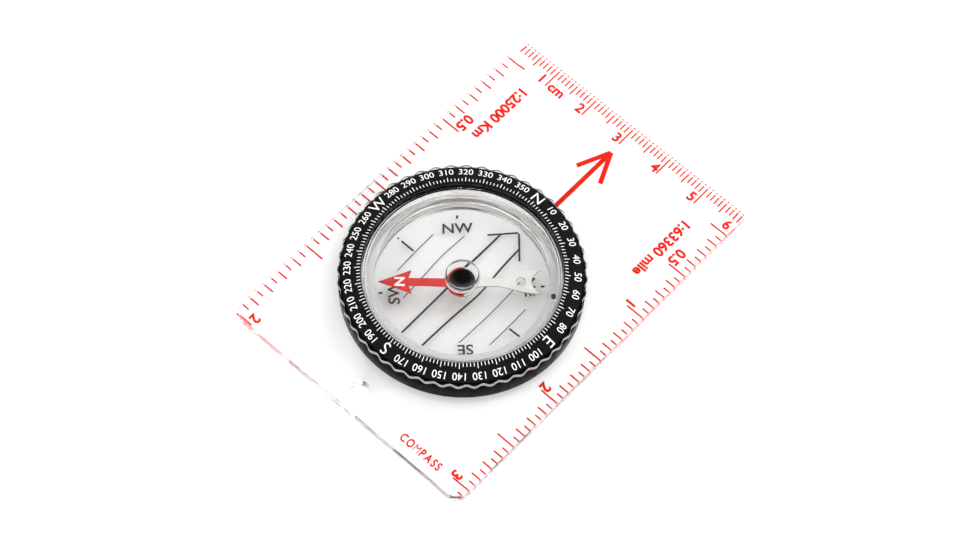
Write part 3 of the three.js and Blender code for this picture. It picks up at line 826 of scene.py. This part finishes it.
kilometres = Ink()
for tick in range(0, 41):
    inner = LONG_KM if tick % 10 == 0 else EVEN_KM if tick % 2 == 0 else ODD_KM
    y = FRONT - KM_START - KM_STEP * tick
    kilometres.stroke(LEFT + SIDE_MARGIN, y, LEFT + inner, y, TICK)
for text, y in (("0.5", 20.55), ("1", 0.0), ("2", -40.45)):
    kilometres.text(text, -26.0, y, LETTER, up=0.0, weight=BOLD)
kilometres.text("1:25000 Km", -22.3, 26.9, LETTER, up=0.0, weight=BOLD)
kilometres.piece("print_km_scale", "baseplate", "plate", ink_red, INK_LIFT)

miles = Ink()
for tick in range(0, 50):
    inner = LONG_MILE if tick % 8 == 0 else EVEN_MILE if tick % 2 == 0 else ODD_MILE
    y = FRONT - MILE_START - MILE_STEP * tick
    miles.stroke(LEFT + inner, y, RIGHT - SIDE_MARGIN, y, TICK)
for text, y in (("0.5", 26.65), ("1", 12.6), ("2", -12.7), ("3", -38.2)):
    miles.text(text, 25.55, y, LETTER, up=0.0, weight=BOLD)
miles.text("1:63360 mile", 22.0, 25.95, LETTER, up=0.0, weight=BOLD)
miles.piece("print_mile_scale", "baseplate", "plate", ink_red, INK_LIFT)

travel = Ink()
travel.stroke(0.15, 10.0, 0.2, 34.8, 1.0)
travel.stroke(-2.87, 28.62, 0.2, 35.6, 1.0)
travel.stroke(3.33, 28.73, 0.2, 35.6, 1.0)
travel.piece("print_travel_arrow", "baseplate", "plate", ink_red, INK_LIFT * 1.2)

WORD_START, WORD_END, WORD_Y, WORD_HEIGHT = 12.2, 22.3, -39.3, 1.7

word = Ink()
word.line("COMPASS", WORD_START, WORD_END, WORD_Y, WORD_HEIGHT, 0.03)
word.piece("print_back_word", "baseplate", "plate", ink_red, INK_LIFT)

# ---- print on the dial -----------------------------------------------------------------------


def dial_height(x, y):
    share = (math.hypot(x, y) - DIAL_INNER) / (DIAL_OUTER - DIAL_INNER)
    return DIAL_INNER_TOP + (DIAL_OUTER_TOP - DIAL_INNER_TOP) * share + INK_LIFT


ticks = Ink()
for degree in range(0, 360, 2):
    long_tick = degree % 10 == 0
    ticks.radial(math.radians(degree), 20.05, 21.15 if long_tick else 20.75, 0.13)
ticks.piece("print_dial_ticks", "housing", "housing", ink_white, dial_height)

numerals = Ink()
for degree in range(0, 360, 10):
    angle = math.radians(degree)
    text = {0: "N", 90: "E", 180: "S", 270: "W"}.get(degree, str(degree))
    height = 2.3 if degree % 90 == 0 else 1.4
    radius = 22.35 if degree % 90 == 0 else 22.6
    numerals.text(text, radius * math.sin(angle), radius * math.cos(angle), height, up=math.pi / 2 - angle,
                  weight=-0.005)
numerals.piece("print_dial_numerals", "housing", "housing", ink_white, dial_height)

# ---- print on the capsule floor --------------------------------------------------------------

FLOOR_BOLD, FLOOR_FINE = 0.4, 0.2

lines = Ink()
for x, y in ((7.0, 8.6), (11.65, 5.1)):
    for side in (-1, 1):
        lines.stroke(side * x, -y, side * x, y, FLOOR_FINE)
lines.piece("print_meridian_lines", "housing", "housing", ink_black, FLOOR_TOP + INK_LIFT)

orienting = Ink()
for side in (-1, 1):
    orienting.stroke(side * 2.33, -15.4, side * 2.33, 13.75, FLOOR_BOLD)
    orienting.stroke(side * 4.05, 11.8, side * 0.1, 16.4, FLOOR_BOLD)
orienting.piece("print_orienting_arrow", "housing", "housing", ink_black, FLOOR_TOP + INK_LIFT * 1.2)

marks = Ink()
for bearing, text, reach in ((45, "NE", 12.95), (135, "SE", 12.65), (225, "SW", 12.85), (315, "NW", 12.95)):
    angle = math.radians(bearing)
    marks.text(text, reach * math.sin(angle), reach * math.cos(angle), 2.2,
               up=math.pi / 2 - angle, weight=0.015)
    marks.radial(angle, 15.1, 15.9, FLOOR_BOLD)
for bearing in (90, 270):
    marks.radial(math.radians(bearing), 12.05, 15.4, FLOOR_BOLD)
    marks.radial(math.radians(bearing), 16.1, 16.5, FLOOR_BOLD)
marks.piece("print_floor_marks", "housing", "housing", ink_black, FLOOR_TOP + INK_LIFT)

# ---- stage, light and camera -----------------------------------------------------------------

floor_mesh = bpy.data.meshes.new("tabletop")
half = 1500
floor_mesh.from_pydata(to_frame([(-half, -half, -0.05), (half, -half, -0.05), (half, half, -0.05),
                                 (-half, half, -0.05)]).tolist(), [], [[0, 1, 2, 3]])
floor = bpy.data.objects.new("tabletop", floor_mesh)
bpy.context.scene.collection.objects.link(floor)
floor_mesh.materials.append(opaque("table_white", grey(0.88), grey(0.9), 0.6, 0.8, grain=300, bump=0.03))


def softbox(name, azimuth, elevation, distance, size, power, mirrored=False):
    light = bpy.data.lights.new(name, "AREA")
    light.shape = "RECTANGLE"
    light.size, light.size_y = size
    light.energy = power
    obj = bpy.data.objects.new(name, light)
    bpy.context.scene.collection.objects.link(obj)
    a, e = math.radians(azimuth), math.radians(elevation)
    back = Vector((math.sin(a) * math.cos(e), -math.cos(a) * math.cos(e), math.sin(e)))
    obj.location = back * distance
    obj.rotation_mode = "QUATERNION"
    obj.rotation_quaternion = (-back).to_track_quat("-Z", "Y")
    obj.visible_transmission = False
    obj.visible_glossy = mirrored
    obj.visible_diffuse = not mirrored


softbox("key", 172, 55, 0.9, (0.6, 0.6), 3.8)
softbox("top", 20, 82, 0.9, (0.6, 0.6), 2.8)
softbox("front", 38, 27, 0.9, (0.3, 0.12), 2.0, mirrored=True)

world = bpy.data.worlds.new("room")
bpy.context.scene.world = world
world.use_nodes = True
sky = world.node_tree.nodes["Background"]
sky.inputs["Color"].default_value = (1, 1, 1, 1)
# The dark patch of the room stands where the camera would otherwise see the room mirrored in the level faces.
DARK_EDGE, DARK_CORE = math.radians(24), math.radians(12)
DARK_STRENGTH = 0.02
HORIZON_LOW, HORIZON_HIGH = 0.12, 0.5
HORIZON_STRENGTH, CEILING_STRENGTH = 0.3, 1.55
DARK_AZIMUTH, DARK_ELEVATION = math.radians(218.7), math.radians(62.3)
towards = world.node_tree.nodes.new("ShaderNodeVectorMath")
towards.operation = "DOT_PRODUCT"
towards.inputs[1].default_value = (math.sin(DARK_AZIMUTH) * math.cos(DARK_ELEVATION),
                                   -math.cos(DARK_AZIMUTH) * math.cos(DARK_ELEVATION),
                                   math.sin(DARK_ELEVATION))
dim = world.node_tree.nodes.new("ShaderNodeMapRange")
dim.inputs["From Min"].default_value = math.cos(DARK_EDGE)
dim.inputs["From Max"].default_value = math.cos(DARK_CORE)
dim.inputs["To Min"].default_value = 1.0
dim.inputs["To Max"].default_value = DARK_STRENGTH
direction = world.node_tree.nodes.new("ShaderNodeTexCoord")
world.node_tree.links.new(direction.outputs["Generated"], towards.inputs[0])
world.node_tree.links.new(towards.outputs["Value"], dim.inputs["Value"])
height = world.node_tree.nodes.new("ShaderNodeSeparateXYZ")
world.node_tree.links.new(direction.outputs["Generated"], height.inputs[0])
horizon = world.node_tree.nodes.new("ShaderNodeMapRange")
horizon.inputs["From Min"].default_value = HORIZON_LOW
horizon.inputs["From Max"].default_value = HORIZON_HIGH
horizon.inputs["To Min"].default_value = HORIZON_STRENGTH
horizon.inputs["To Max"].default_value = CEILING_STRENGTH
world.node_tree.links.new(height.outputs["Z"], horizon.inputs["Value"])
whole = world.node_tree.nodes.new("ShaderNodeMath")
whole.operation = "MULTIPLY"
world.node_tree.links.new(dim.outputs["Result"], whole.inputs[0])
world.node_tree.links.new(horizon.outputs["Result"], whole.inputs[1])
seen = world.node_tree.nodes.new("ShaderNodeMix")
path = world.node_tree.nodes.new("ShaderNodeLightPath")
world.node_tree.links.new(path.outputs["Is Camera Ray"], seen.inputs["Factor"])
world.node_tree.links.new(whole.outputs[0], seen.inputs["A"])
seen.inputs["B"].default_value = 1.0
world.node_tree.links.new(seen.outputs["Result"], sky.inputs["Strength"])

CAMERA_AZIMUTH = math.radians(38.685)
CAMERA_ELEVATION = math.radians(62.286)
CAMERA_ROLL = math.radians(1.854)
CAMERA_PLACE = Vector((193.44, -242.31, 587.12))
CAMERA_LENS = 123.1

camera = bpy.data.objects.new("camera", bpy.data.cameras.new("camera"))
bpy.context.scene.collection.objects.link(camera)
camera.data.lens = CAMERA_LENS
camera.data.sensor_width = 36
camera.data.clip_start = 0.01
back = Vector((math.sin(CAMERA_AZIMUTH) * math.cos(CAMERA_ELEVATION),
               -math.cos(CAMERA_AZIMUTH) * math.cos(CAMERA_ELEVATION), math.sin(CAMERA_ELEVATION)))
level = Vector((math.cos(CAMERA_AZIMUTH), math.sin(CAMERA_AZIMUTH), 0))
spin = math.asin(math.sin(CAMERA_ROLL) / math.cos(CAMERA_ELEVATION))
right = level * math.cos(spin) + back.cross(level) * math.sin(spin)
up = back.cross(right)
camera.matrix_world = Matrix.Translation(CAMERA_PLACE * MM) @ Matrix((right, up, back)).transposed().to_4x4()
bpy.context.scene.camera = camera

bpy.context.scene.view_settings.view_transform = "Standard"
light_paths = bpy.context.scene.cycles
light_paths.max_bounces = 32
light_paths.glossy_bounces = 24
light_paths.transmission_bounces = 32
light_paths.transparent_max_bounces = 32
